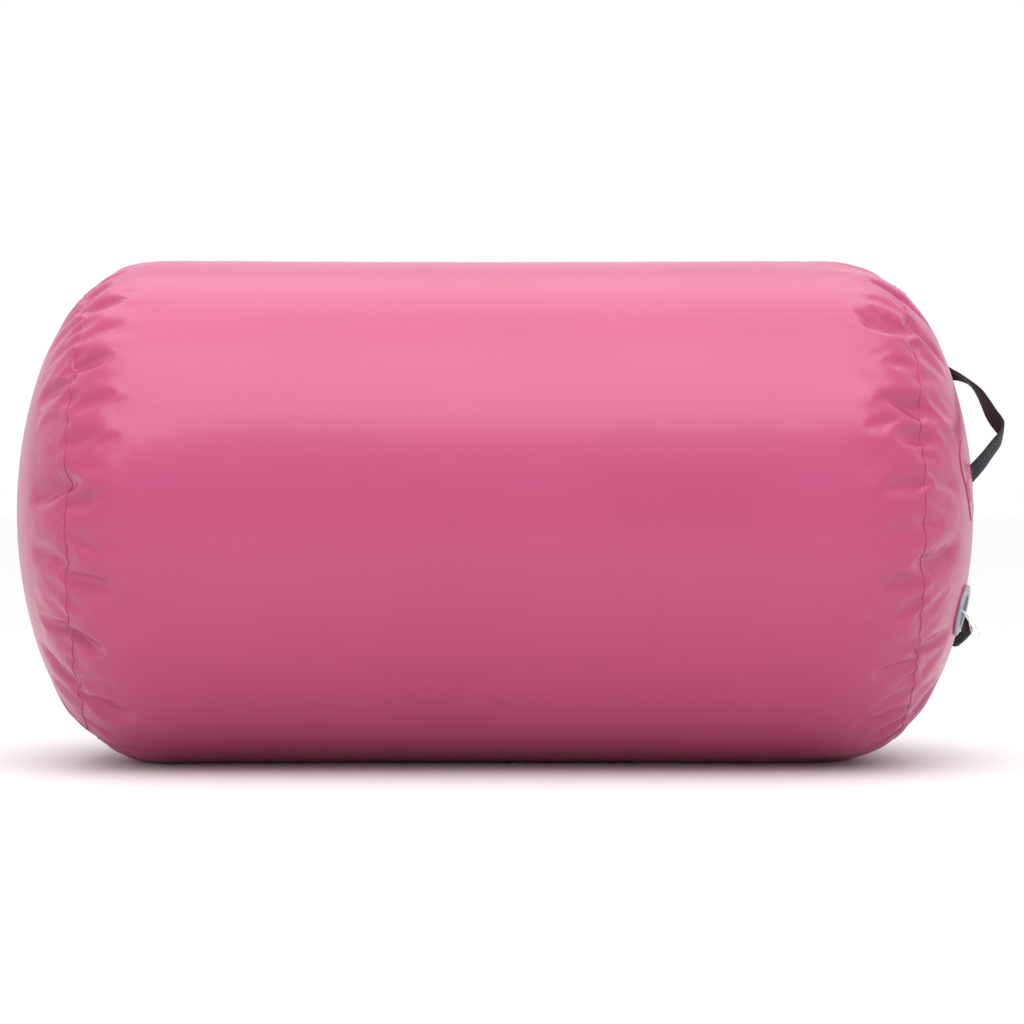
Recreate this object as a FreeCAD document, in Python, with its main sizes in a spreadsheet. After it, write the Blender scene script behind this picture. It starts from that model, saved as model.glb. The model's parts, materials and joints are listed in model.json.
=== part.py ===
import FreeCAD, Part
import math
import os

import Sketcher
from FreeCAD import Matrix, Placement, Rotation, Vector

# An inflatable gymnastics roll: a pink air-filled drum lying on its side, with a welded end panel at
# each end, two webbing hand loops and a recessed air valve on one of them.
# X runs along the roll towards the valve end, Z is up, and the origin is on the sole under the middle.

os.makedirs("parts", exist_ok=True)
doc = FreeCAD.newDocument("AirRoll")
sheet = doc.addObject("Spreadsheet::Sheet", "Sizes")

sizes = {
    # the drum's outline, measured from its axis and its middle
    "axis_height": 296,
    "shoulder_x": 395,
    "shoulder_radius": 300,
    "shoulder_mid_x": 437,
    "shoulder_mid_radius": 290,
    "seam_x": 470,
    "seam_radius": 270,
    "dome_edge": 185,
    "dome_radius": 520,
    "apex_x": 564,
    "wall": 0.9,
    "reach": 700,
    "through": 160,
    "overlap": 0.6,
    # the tapes welded behind the seams
    "tape_half": 20,
    "tape_length": 898,
    "tape_gap": 449,
    "seam_turn": -35,
    # hand loops: two straps side by side on the end panel
    "layout_turn": 39.5,
    "strap_shift": 15,
    "strap_spacing": 128,
    "strap_width": 25,
    "strap_thick": 1.7,
    "root": 100,
    "leg_rise": 12,
    "leg_lap": 2.5,
    "leg_turn": 1.5,
    "leg_bend": 2.6,
    "junction": 88.8,
    "junction_gap": 0.4,
    "droop": 55,
    "tail": 30,
    "patch_length": 36,
    "patch_width": 104,
    "patch_corner": 24,
    "cover_length": 32.5,
    "cover_width": 30,
    # the air valve, in its own frame with Z out of the panel
    "valve_out": 176,
    "valve_tilt": 22,
    "collar_radius": 30,
    "collar_chamfer": 27,
    "collar_top": 4.2,
    "collar_edge": 2.6,
    "collar_base": 0.6,
    "rim_inner": 20.5,
    "recess": 19.5,
    "recess_top": 3.4,
    "recess_floor": 5,
    "sleeve_outer": 21.5,
    "bore": 17.5,
    "seat": 12,
    "seat_top": 21.5,
    "sleeve_end": 24,
    "panel_hole": 22.2,
    "pad_radius": 29.4,
    "hub_outer": 5.2,
    "hub_inner": 3,
    "hub_top": 20.5,
    "arm_width": 2.6,
    "nut_bore": 21.6,
    "nut_flange": 32,
    "nut_tube": 25,
    "nut_face": 3.6,
    "nut_step": 6.6,
    "nut_end": 14,
    "lug_length": 4,
    "gasket_radius": 30.5,
    "cap_sink": 4,
    "cap_radius": 19.1,
    "cap_top": 1.2,
    "cap_under": 0.7,
    "cap_plate": 1.5,
    "skirt_outer": 17,
    "skirt_inner": 14.5,
    "skirt_end": 8,
    "groove_floor": 15.9,
    "groove_top": 4.4,
    "groove_end": 6.4,
    "ring_radius": 16.53,
    "ring_wire": 0.62,
    "grip_length": 31,
    "grip_width": 6.5,
    "grip_top": 3.6,
    "pin_hole": 2,
    "pin": 1.6,
    "pin_head": 3.4,
    "pin_head_top": 1.8,
    "pin_end": 3,
    "swivel_radius": 4.2,
    "swivel_under": 3.9,
    "swivel_edge": 4.9,
    "swivel_top": 5.6,
    "stem": 2.5,
    "stem_end": 28.6,
    "stem_top": 10.6,
    "button_radius": 6,
    "button_top": 9.6,
    "button_under": 12.6,
    "washer_inner": 2.9,
    "washer_outer": 6.4,
    "washer_top": 12.9,
    "washer_under": 13.7,
    "spring_radius": 4.4,
    "spring_wire": 0.35,
    "spring_height": 5.75,
    "spring_turns": 3,
    "spring_top": 14,
    "seal_radius": 15.5,
    "seal_top": 24.3,
    "seal_under": 25.4,
    "disc_radius": 14.5,
    "disc_under": 27,
    "clip_under": 27.8,
    "clip_inner": 2,
    "clip_outer": 4.2,
    "clip_slot": 3.2,
    # the pull cord on the cap
    "cord_wire": 0.6,
    "crimp": 1.25,
    "crimp_length": 9.7,
}
for row, (alias, number) in enumerate(sizes.items(), start=1):
    sheet.set(f"A{row}", alias)
    sheet.set(f"B{row}", str(number))
    sheet.setAlias(f"B{row}", alias)
doc.recompute()


def size(alias):
    return float(sheet.get(alias))


# A formula is aliases and numbers joined by + and -, each word apart: "seam_x - tape_half".
def value(formula):
    total, sign = 0.0, 1
    for word in formula.split():
        if word in ("+", "-"):
            sign = 1 if word == "+" else -1
        else:
            total += sign * (size(word) if word.isidentifier() else float(word))
    return total


def bind(feature, prop, formula):
    words = [f"Sizes.{word}" if word.isidentifier() else word for word in formula.split()]
    feature.setExpression(prop, " ".join(words))


# ---- helpers for features ----


def boolean(kind, name, base, tool):
    feature = doc.addObject(f"Part::{kind}", name)
    feature.Base = base
    feature.Tool = tool
    return feature


def box(name, corner, spans):
    solid = doc.addObject("Part::Box", name)
    for prop, formula in zip(("Length", "Width", "Height"), spans):
        bind(solid, prop, formula)
    for axis, formula in zip("xyz", corner):
        bind(solid, f"Placement.Base.{axis}", formula)
    return solid


def cylinder(name, radius, base, height, place):
    solid = doc.addObject("Part::Cylinder", name)
    bind(solid, "Radius", radius)
    bind(solid, "Height", height)
    solid.Placement = place.multiply(Placement(Vector(0, 0, value(base)), Rotation()))
    return solid


def new_body(name):
    return doc.addObject("PartDesign::Body", name)


def new_sketch(body, role, name):
    sketch = body.newObject("Sketcher::SketchObject", name)
    plane = next(p for p in body.Origin.OriginFeatures if p.Role == role)
    sketch.AttachmentSupport = (plane, "")
    sketch.MapMode = "FlatFace"
    return sketch


# Draws a closed outline whose pieces are (start, end) lines and (start, middle, end) arcs.
def draw(sketch, pieces):
    for piece in pieces:
        if len(piece) == 2:
            sketch.addGeometry(Part.LineSegment(*piece))
        else:
            sketch.addGeometry(Part.Arc(*piece))
    corners = []
    for i, piece in enumerate(pieces):
        after = (i + 1) % len(pieces)
        ends = []
        for geo in (i, after):
            ends.append(min((1, 2), key=lambda pos: sketch.getPoint(geo, pos).distanceToPoint(piece[-1])))
        sketch.addConstraint(Sketcher.Constraint("Coincident", i, ends[0], after, ends[1]))
        corners.append((i, ends[0]))
    return corners


def revolve(body, sketch, axis):
    turn = body.newObject("PartDesign::Revolution", sketch.Name + "_turn")
    turn.Profile = sketch
    turn.ReferenceAxis = (sketch, [axis])
    turn.Angle = 360
    return turn


# Draws a polygon whose corners are bound to the sheet: each corner is a pair of formulas.
def bound_polygon(sketch, corners):
    points = [Vector(value(across), value(up), 0) for across, up in corners]
    ends = draw(sketch, list(zip(points, points[1:] + points[:1])))
    for i, (across, up) in enumerate(corners):
        geo, pos = ends[i - 1]
        for kind, axis, formula in (("DistanceX", -2, across), ("DistanceY", -1, up)):
            if formula == "0":
                sketch.addConstraint(Sketcher.Constraint("PointOnObject", geo, pos, axis))
            else:
                sketch.addConstraint(Sketcher.Constraint(kind, -1, 1, geo, pos, value(formula)))
                name = f"{kind[-1]}{i}"
                sketch.renameConstraint(sketch.ConstraintCount - 1, name)
                bind(sketch, f"Constraints.{name}", formula)


# A turned piece: its corners are (radius, height) formulas in the piece's own frame.
def turned(name, corners, place):
    body = new_body(name)
    sketch = new_sketch(body, "XZ_Plane", name + "_outline")
    bound_polygon(sketch, corners)
    revolve(body, sketch, "V_Axis")
    body.Placement = place
    return body


# ---- the drum ----


def ring(inner, outer, under, top):
    return [(inner, under), (outer, under), (outer, top), (inner, top)]


def turned_from(centre, point):
    return (point - centre).normalize()


# The corner of two offset arcs that meet at point with these outward normals.
def offset_corner(point, normals, offset):
    middle = (normals[0] + normals[1]).normalize()
    return point + middle * (offset / middle.dot(normals[0]))


def arc_centre(first, second, third):
    return Part.Arc(first, second, third).toShape().Curve.Center


# The outline from the middle of the barrel to the apex: its arcs, pushed out by offset.
def half_outline(offset):
    shoulder = Vector(size("shoulder_x"), size("shoulder_radius"), 0)
    shoulder_mid = Vector(size("shoulder_mid_x"), size("shoulder_mid_radius"), 0)
    seam = Vector(size("seam_x"), size("seam_radius"), 0)
    dome_centre = Vector(size("apex_x") - size("dome_radius"), 0, 0)
    edge_angle = math.asin(size("dome_edge") / size("dome_radius"))
    edge_normal = Vector(math.cos(edge_angle), math.sin(edge_angle), 0)
    edge = dome_centre + edge_normal * size("dome_radius")
    # the edge arc leaves the dome smoothly and ends on the seam
    chord = seam - edge
    edge_radius = -chord.dot(chord) / (2 * chord.dot(edge_normal))
    edge_centre = edge - edge_normal * edge_radius
    shoulder_centre = arc_centre(shoulder, shoulder_mid, seam)
    seam_point = offset_corner(
        seam, (turned_from(shoulder_centre, seam), turned_from(edge_centre, seam)), offset
    )
    up = Vector(0, 1, 0)
    shoulder_point = offset_corner(shoulder, (up, turned_from(shoulder_centre, shoulder)), offset)
    shoulder_middle = shoulder_mid + turned_from(shoulder_centre, shoulder_mid) * offset
    edge_way = (turned_from(edge_centre, seam) + edge_normal).normalize()
    edge_middle = edge_centre + edge_way * (edge_radius + offset)
    edge_point = edge + edge_normal * offset
    half_angle = edge_angle / 2
    dome_way = Vector(math.cos(half_angle), math.sin(half_angle), 0)
    dome_middle = dome_centre + dome_way * (size("dome_radius") + offset)
    apex = Vector(size("apex_x") + offset, 0, 0)
    return [
        (shoulder_point, shoulder_middle, seam_point),
        (seam_point, edge_middle, edge_point),
        (edge_point, dome_middle, apex),
    ]


def mirrored(point):
    return Vector(-point.x, point.y, 0)


# A solid of the whole drum, offset outwards by some millimetres, with its flat sole at that height.
def drum(name, offset, sole):
    body = new_body(name)
    sketch = new_sketch(body, "XZ_Plane", name + "_outline")
    right = half_outline(offset)
    left = [tuple(mirrored(p) for p in reversed(arc)) for arc in reversed(right)]
    pieces = left + [(left[-1][-1], right[0][0])] + right + [(right[-1][-1], left[0][0])]
    draw(sketch, pieces)
    sketch.addConstraint(Sketcher.Constraint("Radius", 0, size("dome_radius") + offset))
    bind(sketch, "Constraints[%d]" % (sketch.ConstraintCount - 1), f"dome_radius + {offset:g}")
    revolve(body, sketch, "H_Axis")
    bind(body, "Placement.Base.z", "axis_height")
    if sole is None:
        return body
    corner = ("0 - reach", "0 - reach", f"{sole:g} - reach")
    ground = box(name + "_ground", corner, ("2 * reach", "2 * reach", "reach"))
    return boolean("Cut", name + "_soled", body, ground)


wall = size("wall")
outer = drum("drum_outer", 0, 0)
inner = drum("drum_inner", -wall, wall)
tape_inner = drum("drum_tape", -2 * wall, 2 * wall)
skin = boolean("Cut", "skin", outer, inner)
lining = boolean("Cut", "lining", inner, tape_inner)

slab = ("2 * reach", "2 * reach")
side = ("0 - reach", "0 - reach")
middle_slab = box("middle_slab", ("0 - seam_x", *side), ("2 * seam_x", *slab))
plain_slab = box("plain_slab", ("0 - seam_x - reach", *side), ("reach", *slab))
valve_slab = box("valve_slab", ("seam_x", *side), ("reach", *slab))
plain_band = box("plain_band", ("0 - seam_x - tape_half", *side), ("2 * tape_half", *slab))
valve_band = box("valve_band", ("seam_x - tape_half", *side), ("2 * tape_half", *slab))

nodes = {}
nodes["barrel_panel"] = boolean("Common", "barrel_panel", skin, middle_slab)
nodes["end_panel_plain"] = boolean("Common", "end_panel_plain", skin, plain_slab)
nodes["seam_tape_plain"] = boolean("Common", "seam_tape_plain", lining, plain_band)
nodes["seam_tape_valve"] = boolean("Common", "seam_tape_valve", lining, valve_band)

# the barrel's lengthwise seam is on the back, low down, with its tape inside
strip = doc.addObject("Part::Box", "strip")
bind(strip, "Length", "tape_length")
bind(strip, "Width", "shoulder_radius")
bind(strip, "Height", "2 * tape_half")
turn = Rotation(Vector(1, 0, 0), size("seam_turn"))
corner = turn.multVec(Vector(0, 0, -size("tape_half")))
strip.Placement = Placement(corner + Vector(-size("tape_gap"), 0, size("axis_height")), turn)
nodes["barrel_seam_tape"] = boolean("Common", "barrel_seam_tape", lining, strip)

# ---- frames on the domed end ----

layout = math.radians(size("layout_turn"))
along = Vector(0, math.cos(layout), math.sin(layout))
across = Vector(0, -math.sin(layout), math.cos(layout))


# A frame on the dome at s along and w across the layout lines from the roll's axis: Z is out of the
# panel, tipped from the roll's axis by tilt, and X follows the layout lines.
def dome_frame(s, w, tilt=None):
    off_axis = along * s + across * w
    radius = off_axis.Length
    dome = size("dome_radius")
    if tilt is None:
        tilt = math.asin(radius / dome)
    x = size("apex_x") - dome + math.sqrt(dome**2 - radius**2)
    origin = Vector(x, 0, size("axis_height")) + off_axis
    z_axis = Vector(math.cos(tilt), 0, 0) + off_axis * (math.sin(tilt) / radius)
    x_axis = (along - z_axis * along.dot(z_axis)).normalize()
    y_axis = z_axis.cross(x_axis)
    rows = []
    for k in range(3):
        rows += [x_axis[k], y_axis[k], z_axis[k], origin[k]]
    return Placement(Matrix(*rows, 0, 0, 0, 1))


# ---- hand loops ----

dome_layer = drum("layer_dome", 0, None)
patch_layer = drum("layer_patch", wall, None)
strap_layer = drum("layer_strap", size("strap_thick"), None)
cover_layer = drum("layer_cover", size("strap_thick") + wall, None)


# A point of a strap in its loop's own frame: s along the panel, up above the dome.
def on_dome(s, up):
    angle = math.asin(s / size("dome_radius"))
    reach = size("dome_radius") + up
    return Vector(reach * math.sin(angle), reach * math.cos(angle) - size("dome_radius"), 0)


# One edge of a strap that runs through points with a bend at each inner point, half its thickness to
# the left (+1) or right (-1). Both ends are cut square to the panel's layout line.
def strap_edge(points, bends, half, hand):
    ways = [(b - a).normalize() for a, b in zip(points, points[1:])]
    chain = [points[0] + Vector(0, hand * half / ways[0].x, 0)]
    for point, bend, way, next_way in zip(points[1:-1], bends, ways, ways[1:]):
        normal, next_normal = (Vector(-w.y, w.x, 0) for w in (way, next_way))
        turning = 1 if way.cross(next_way).z > 0 else -1
        setback = bend * math.tan(way.getAngle(next_way) / 2)
        centre = point - way * setback + normal * (turning * bend)
        radius = (bend - turning * hand * half) * turning
        middle = (normal + next_normal).normalize()
        chain.append(tuple(centre - n * radius for n in (normal, middle, next_normal)))
    chain.append(points[-1] + Vector(0, hand * half / ways[-1].x, 0))
    return chain


def strap(name, points, bends, place):
    half = size("strap_thick") / 2
    left = strap_edge(points, bends, half, 1)
    right = strap_edge(points, bends, half, -1)
    pieces = []
    at = left[0]
    for arc in left[1:-1]:
        pieces += [(at, arc[0]), arc]
        at = arc[2]
    pieces += [(at, left[-1]), (left[-1], right[-1])]
    at = right[-1]
    for arc in reversed(right[1:-1]):
        pieces += [(at, arc[2]), tuple(reversed(arc))]
        at = arc[0]
    pieces += [(at, right[0]), (right[0], left[0])]
    body = new_body(name)
    sketch = new_sketch(body, "XZ_Plane", name + "_outline")
    draw(sketch, pieces)
    pad = body.newObject("PartDesign::Pad", name + "_pad")
    pad.Profile = sketch
    bind(pad, "Length", "strap_width")
    pad.Midplane = True
    body.Placement = place
    return body


# A block in the loop's frame, right through the panel, from the root outwards on hand's side.
def block(name, length, width, hand, place):
    solid = doc.addObject("Part::Box", name)
    bind(solid, "Length", length)
    bind(solid, "Width", width)
    bind(solid, "Height", "through")
    first = size("root") if hand > 0 else -size("root") - size(length)
    corner = Vector(first, -size(width) / 2, -size("through") / 2)
    solid.Placement = place.multiply(Placement(corner, Rotation()))
    return solid


# The outline of a patch, square at the root and rounded at the far end.
def patch_prism(name, hand, place):
    body = new_body(name)
    sketch = new_sketch(body, "XY_Plane", name + "_outline")
    half, corner = size("patch_width") / 2, size("patch_corner")
    first, last = hand * size("root"), hand * (size("root") + size("patch_length"))
    inset = corner * (1 - math.sqrt(0.5))
    before = last - hand * corner
    a, b = Vector(first, -half, 0), Vector(before, -half, 0)
    c = Vector(last - hand * inset, -half + inset, 0)
    d, e = Vector(last, -half + corner, 0), Vector(last, half - corner, 0)
    f = Vector(last - hand * inset, half - inset, 0)
    g, i = Vector(before, half, 0), Vector(first, half, 0)
    draw(sketch, [(a, b), (b, c, d), (d, e), (e, f, g), (g, i), (i, a)])
    pad = body.newObject("PartDesign::Pad", name + "_pad")
    pad.Profile = sketch
    bind(pad, "Length", "through")
    pad.Midplane = True
    body.Placement = place
    return body


def strap_end(loop, end, hand, place):
    stem = f"{loop}_{end}"
    tail_block = block(stem + "_tail_block", "tail", "strap_width", hand, place)
    tail_full = boolean("Common", stem + "_tail_full", tail_block, strap_layer)
    tail = boolean("Cut", stem + "_tail", tail_full, dome_layer)
    middle = size("strap_thick") / 2
    points = [
        on_dome(hand * (size("root") + size("leg_lap")), middle),
        on_dome(hand * (size("root") - size("leg_turn")), middle),
        on_dome(hand * (size("junction") + size("junction_gap") / 2), size("leg_rise")),
    ]
    leg = strap(stem + "_leg", points, [size("leg_bend")], place)
    web_end = boolean("Fuse", f"{loop}_web_end_{end}", tail, leg)
    nodes[f"{loop}_web_end_{end}"] = web_end

    prism = patch_prism(stem + "_prism", hand, place)
    flat = boolean("Common", stem + "_flat", prism, patch_layer)
    cover_block = block(stem + "_cover_block", "cover_length", "cover_width", hand, place)
    cover = boolean("Common", stem + "_cover", cover_block, cover_layer)
    lapped = boolean("Fuse", stem + "_lapped", flat, cover)
    shell = boolean("Cut", stem + "_shell", lapped, dome_layer)
    nodes[f"{loop}_patch_{end}"] = boolean("Cut", f"{loop}_patch_{end}", shell, web_end)


# the loops' outlines as (s, up) points between the two junctions, with the bend at each inner point
loop_shapes = {
    "upper": ([(-79, 22), (-37, 40.5), (74, 24)], [20, 30, 30]),
    "lower": ([(-80, 25), (-30, 37), (72, 26)], [14, 60, 30]),
}
for loop, hand in (("upper", 1), ("lower", -1)):
    place = dome_frame(size("strap_shift"), hand * size("strap_spacing"))
    for end, way in (("low", -1), ("high", 1)):
        strap_end(loop, end, way, place)
    inner_points, bends = loop_shapes[loop]
    at = size("junction") - size("junction_gap") / 2
    rise = size("leg_rise")
    points = [on_dome(-at, rise)] + [on_dome(s, up) for s, up in inner_points] + [on_dome(at, rise)]
    swing = place
    if loop == "lower":
        # the lower loop hangs down about the line through its junctions
        hinge = Vector(0, 0, points[0].y)
        droop = Placement(Vector(), Rotation(Vector(1, 0, 0), size("droop")), hinge)
        swing = place.multiply(droop)
    nodes[f"{loop}_web_loop"] = strap(f"{loop}_web_loop", points, bends, swing)

# ---- the air valve ----

valve = dome_frame(-size("valve_out"), 0, math.radians(size("valve_tilt")))

hole = cylinder("valve_hole", "panel_hole", "0 - 20", "sleeve_end + 10", valve)
end_shell = boolean("Common", "end_shell", skin, valve_slab)
nodes["end_panel_valve"] = boolean("Cut", "end_panel_valve", end_shell, hole)

pad_ring = turned("valve_pad_ring", ring("panel_hole", "pad_radius", "0 - 5", "collar_base"), valve)
nodes["valve_pad"] = boolean("Cut", "valve_pad", pad_ring, dome_layer)

collar = turned(
    "valve_collar_turned",
    [
        ("rim_inner", "collar_top"),
        ("recess", "recess_top"),
        ("recess", "0 - recess_floor"),
        ("bore", "0 - recess_floor"),
        ("bore", "0 - seat_top"),
        ("seat", "0 - seat_top"),
        ("seat", "0 - sleeve_end"),
        ("sleeve_outer", "0 - sleeve_end"),
        ("sleeve_outer", "collar_base"),
        ("collar_radius", "collar_base"),
        ("collar_radius", "collar_edge"),
        ("collar_chamfer", "collar_top"),
    ],
    valve,
)
# the spider that guides the stem: a hub on three arms across the seat
spider = turned("spider_hub", ring("hub_inner", "hub_outer", "0 - sleeve_end", "0 - hub_top"), valve)
for k in range(3):
    arm = doc.addObject("Part::Box", f"spider_arm_{k}")
    bind(arm, "Length", "seat - hub_outer + 2 * overlap")
    bind(arm, "Width", "arm_width")
    bind(arm, "Height", "sleeve_end - seat_top")
    start = Vector(size("hub_outer") - size("overlap"), -size("arm_width") / 2, -size("sleeve_end"))
    arm.Placement = valve.multiply(Placement(Vector(), Rotation(Vector(0, 0, 1), 120 * k))).multiply(
        Placement(start, Rotation())
    )
    spider = boolean("Fuse", f"spider_{k}", spider, arm)
nodes["valve_collar"] = boolean("Fuse", "valve_collar", collar, spider)

gasket_ring = turned("gasket_ring", ring("panel_hole", "gasket_radius", "0 - nut_face", "3"), valve)
nodes["valve_gasket"] = boolean("Common", "valve_gasket", gasket_ring, inner)

nut = turned(
    "nut_turned",
    [
        ("nut_bore", "0 - nut_face"),
        ("nut_bore", "0 - nut_end"),
        ("nut_tube", "0 - nut_end"),
        ("nut_tube", "0 - nut_step"),
        ("nut_flange", "0 - nut_step"),
        ("nut_flange", "0 - nut_face"),
    ],
    valve,
)
for k in range(6):
    lug = doc.addObject("Part::Box", f"nut_lug_{k}")
    bind(lug, "Length", "lug_length")
    bind(lug, "Width", "arm_width")
    bind(lug, "Height", "nut_end - nut_step")
    start = Vector(size("nut_tube") - size("overlap"), -size("arm_width") / 2, -size("nut_end"))
    lug.Placement = valve.multiply(Placement(Vector(), Rotation(Vector(0, 0, 1), 60 * k))).multiply(
        Placement(start, Rotation())
    )
    nut = boolean("Fuse", f"nut_{k}", nut, lug)
nodes["valve_nut"] = nut

nodes["valve_stem"] = turned(
    "valve_stem",
    [
        ("0", "0 - stem_top"),
        ("0", "0 - stem_end"),
        ("stem", "0 - stem_end"),
        ("stem", "0 - clip_under"),
        ("clip_inner", "0 - clip_under"),
        ("clip_inner", "0 - disc_under"),
        ("stem", "0 - disc_under"),
        ("stem", "0 - stem_top"),
    ],
    valve,
)
nodes["valve_button"] = turned(
    "valve_button",
    [
        ("0", "0 - button_top"),
        ("0", "0 - stem_top"),
        ("stem", "0 - stem_top"),
        ("stem", "0 - button_under"),
        ("button_radius", "0 - button_under"),
        ("button_radius", "0 - stem_top"),
        ("button_radius - 1", "0 - button_top"),
    ],
    valve,
)
nodes["spring_washer"] = turned(
    "spring_washer", ring("washer_inner", "washer_outer", "0 - washer_under", "0 - washer_top"), valve
)
nodes["valve_seal"] = turned(
    "valve_seal", ring("stem", "seal_radius", "0 - seal_under", "0 - seal_top"), valve
)
nodes["valve_disc"] = turned(
    "valve_disc", ring("stem", "disc_radius", "0 - disc_under", "0 - seal_under"), valve
)
clip_ring = turned("clip_ring", ring("clip_inner", "clip_outer", "0 - clip_under", "0 - disc_under"), valve)
clip_slot = doc.addObject("Part::Box", "clip_slot")
bind(clip_slot, "Length", "clip_outer + 1")
bind(clip_slot, "Width", "clip_slot")
bind(clip_slot, "Height", "3")
clip_slot.Placement = valve.multiply(
    Placement(Vector(0, -size("clip_slot") / 2, -size("clip_under") - 1), Rotation())
)
nodes["stem_clip"] = boolean("Cut", "stem_clip", clip_ring, clip_slot)

helix = doc.addObject("Part::Helix", "spring_helix")
bind(helix, "Radius", "spring_radius")
bind(helix, "Height", "spring_height")
bind(helix, "Pitch", "spring_height / spring_turns")
helix.SegmentLength = 0.5
doc.recompute()
wire = doc.addObject("Part::Circle", "spring_circle")
bind(wire, "Radius", "spring_wire")
wire.Placement = Placement(Vector(size("spring_radius"), 0, 0), Rotation(Vector(1, 0, 0), 90))
spring = doc.addObject("Part::Sweep", "valve_spring")
spring.Sections = [wire]
spring.Spine = (helix, [f"Edge{k + 1}" for k in range(len(helix.Shape.Edges))])
spring.Solid = True
spring.Frenet = True
spring_foot = -size("spring_top") - size("spring_wire") - size("spring_height")
spring.Placement = valve.multiply(Placement(Vector(0, 0, spring_foot), Rotation()))
nodes["valve_spring"] = spring

# ---- the cap with its O-ring, swivel and pull cord ----

# the cap's own frame lies below the valve's, so that the cap sits deep in the collar's recess
cap_place = valve.multiply(Placement(Vector(0, 0, -size("cap_sink")), Rotation()))
cap_turned = turned(
    "cap_turned",
    [
        ("0", "cap_top"),
        ("0", "0 - cap_plate"),
        ("skirt_inner", "0 - cap_plate"),
        ("skirt_inner", "0 - skirt_end"),
        ("skirt_outer", "0 - skirt_end"),
        ("skirt_outer", "0 - groove_end"),
        ("groove_floor", "0 - groove_end"),
        ("groove_floor", "0 - groove_top"),
        ("skirt_outer", "0 - groove_top"),
        ("skirt_outer", "0 - cap_under"),
        ("cap_radius", "0 - cap_under"),
        ("cap_radius", "cap_top"),
    ],
    cap_place,
)
grip = doc.addObject("Part::Box", "cap_grip")
bind(grip, "Length", "grip_length")
bind(grip, "Width", "grip_width")
bind(grip, "Height", "grip_top")
grip_corner = Vector(-size("grip_length") / 2, -size("grip_width") / 2, 0)
grip.Placement = cap_place.multiply(Placement(grip_corner, Rotation()))
pin_hole = cylinder("pin_hole", "pin_hole", "0 - 5", "5 + grip_top + 1", cap_place)
gripped = boolean("Fuse", "cap_gripped", cap_turned, grip)
nodes["valve_cap"] = boolean("Cut", "valve_cap", gripped, pin_hole)

cap_ring = doc.addObject("Part::Torus", "cap_o_ring")
bind(cap_ring, "Radius1", "ring_radius")
bind(cap_ring, "Radius2", "ring_wire")
ring_height = -(size("groove_top") + size("groove_end")) / 2
cap_ring.Placement = cap_place.multiply(Placement(Vector(0, 0, ring_height), Rotation()))
nodes["cap_o_ring"] = cap_ring

nodes["cap_swivel"] = turned(
    "cap_swivel",
    [
        ("0", "swivel_top"),
        ("0", "0 - pin_end"),
        ("pin_head", "0 - pin_end"),
        ("pin_head", "0 - pin_head_top"),
        ("pin", "0 - pin_head_top"),
        ("pin", "swivel_under"),
        ("swivel_radius", "swivel_under"),
        ("swivel_radius", "swivel_edge"),
        ("swivel_radius - 1.6", "swivel_top"),
    ],
    cap_place,
)

# the crimp sleeve leans out and down from the swivel, and the cord's loop hangs from its end
crimp_way = Vector(0.75, 0, -0.66).normalize()
crimp_start = cap_place.multVec(Vector(0, 0, size("swivel_edge") - size("overlap")))
crimp_solid = doc.addObject("Part::Cylinder", "crimp_solid")
bind(crimp_solid, "Radius", "crimp")
bind(crimp_solid, "Height", "crimp_length + 1")
crimp_solid.Placement = Placement(crimp_start, Rotation(Vector(0, 0, 1), crimp_way))
crimp_off_swivel = boolean("Cut", "crimp_off_swivel", crimp_solid, nodes["cap_swivel"])
crimp_end = crimp_start + crimp_way * (size("crimp_length") + 1)
print("crimp end", crimp_end)


# A cord's tube: straight runs joined by tangent arcs as large as the runs allow.
def cord_tube(name, route, radius):
    edges = []
    at = route[0]
    for before, point, after in zip(route, route[1:], route[2:]):
        way, next_way = (point - before).normalize(), (after - point).normalize()
        turn = way.getAngle(next_way)
        setback = 0.45 * min((point - before).Length, (after - point).Length)
        bend = setback / math.tan(turn / 2)
        start, end = point - way * setback, point + next_way * setback
        inward = (next_way - way).normalize()
        centre_off = math.hypot(bend, setback)
        middle = point + inward * (centre_off - bend)
        edges += [Part.makeLine(at, start), Part.Arc(start, middle, end).toShape()]
        at = end
        print(f"{name} bend {bend:.1f} mm, turn {math.degrees(turn):.0f}")
    edges.append(Part.makeLine(at, route[-1]))
    spine = Part.Wire(edges)
    circle = Part.Wire(Part.makeCircle(radius, route[0], route[1] - route[0]))
    pipe = spine.makePipeShell([circle], True, True)
    feature = doc.addObject("Part::Feature", name)
    feature.Shape = pipe
    section = math.pi * radius**2 * spine.Length
    print(f"{name} length {spine.Length:.1f} mm, volume / section {pipe.Volume / section:.4f}")
    return feature


# the loop's points from the crimp's end: (sideways, down) in the plane that the loop hangs in
loop_down = Vector(0.41, 0, -0.91).normalize()
loop_side = Vector(0.91, 0, 0.41).normalize()
loop_points = [
    (0.66, 0),
    (0.95, 4),
    (2.1, 8.2),
    (3.2, 12.4),
    (3.8, 16.6),
    (4, 20.8),
    (3.7, 24.5),
    (1.5, 26.7),
    (-1.5, 26.7),
    (-3.7, 24.5),
    (-4, 20.8),
    (-3.7, 16.6),
    (-3, 12.4),
    (-2, 8.2),
    (-0.9, 4),
    (-0.66, 0),
]
route = [crimp_end + loop_side * a + loop_down * b for a, b in loop_points]
nodes["cap_cord"] = cord_tube("cap_cord", route, size("cord_wire"))
nodes["cord_crimp"] = boolean("Cut", "cord_crimp", crimp_off_swivel, nodes["cap_cord"])

# ---- labels, checks and files ----

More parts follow.
